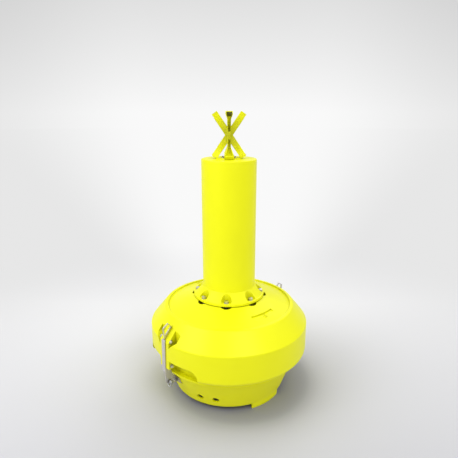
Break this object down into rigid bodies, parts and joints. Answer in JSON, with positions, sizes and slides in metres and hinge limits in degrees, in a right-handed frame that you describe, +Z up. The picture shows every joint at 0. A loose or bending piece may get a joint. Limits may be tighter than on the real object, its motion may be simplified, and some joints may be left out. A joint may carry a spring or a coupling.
{
  "type": "navigation buoy",
  "caption": "Yellow moulded navigation buoy with a round float, tubular tower and crossed topmark; steel lifting straps with swinging mooring shackles.",
  "frame": {"origin": "centre of the buoy on the ground under its skirt feet", "axes": "+Z up along the tower's axis; the two lifting and mooring straps stand at +X and -X, the skirt's feet at +Y and -Y"},
  "size_m": [1.2324, 1.2116, 2.118],
  "materials": {
    "yellow_hull": "smooth rotationally moulded plastic, softly glossy",
    "yellow_skirt": "smooth rotationally moulded plastic",
    "yellow_tower": "smooth rotationally moulded plastic, softly glossy",
    "yellow_topmark": "moulded plastic",
    "yellow_plug": "moulded plastic",
    "stainless_strap": "pickled stainless steel",
    "stainless_fasteners": "stainless steel",
    "galvanised_shackle": "hot-dip galvanised",
    "cast_ballast": "dark epoxy over cast iron"
  },
  "bodies": {
    "buoy": {"float_hull": "yellow_hull", "base_skirt": "yellow_skirt", "skirt_bolts": "stainless_fasteners", "ballast_weight": "cast_ballast", "ballast_bolts": "stainless_fasteners", "deck_plugs": "yellow_plug", "tower": "yellow_tower", "tower_bolts": "stainless_fasteners", "topmark": "yellow_topmark", "topmark_bolts": "stainless_fasteners", "strap_right": "stainless_strap", "strap_left": "stainless_strap", "strap_bolts_right": "stainless_fasteners", "strap_bolts_left": "stainless_fasteners", "strap_foot_bolts_right": "stainless_fasteners", "strap_foot_bolts_left": "stainless_fasteners"},
    "shackle_right": {"shackle_bow_right": "galvanised_shackle", "shackle_pin_right": "galvanised_shackle"},
    "shackle_left": {"shackle_bow_left": "galvanised_shackle", "shackle_pin_left": "galvanised_shackle"}
  },
  "joints": [
    {"name": "shackle_right_swing", "type": "hinge", "parent": "buoy", "child": "shackle_right", "pos_m": [0.572, 0, 0.214], "axis": [0, -1, 0], "range_deg": [-25, 95]},
    {"name": "shackle_left_swing", "type": "hinge", "parent": "buoy", "child": "shackle_left", "pos_m": [-0.572, 0, 0.214], "axis": [0, 1, 0], "range_deg": [-25, 95]}
  ]
}
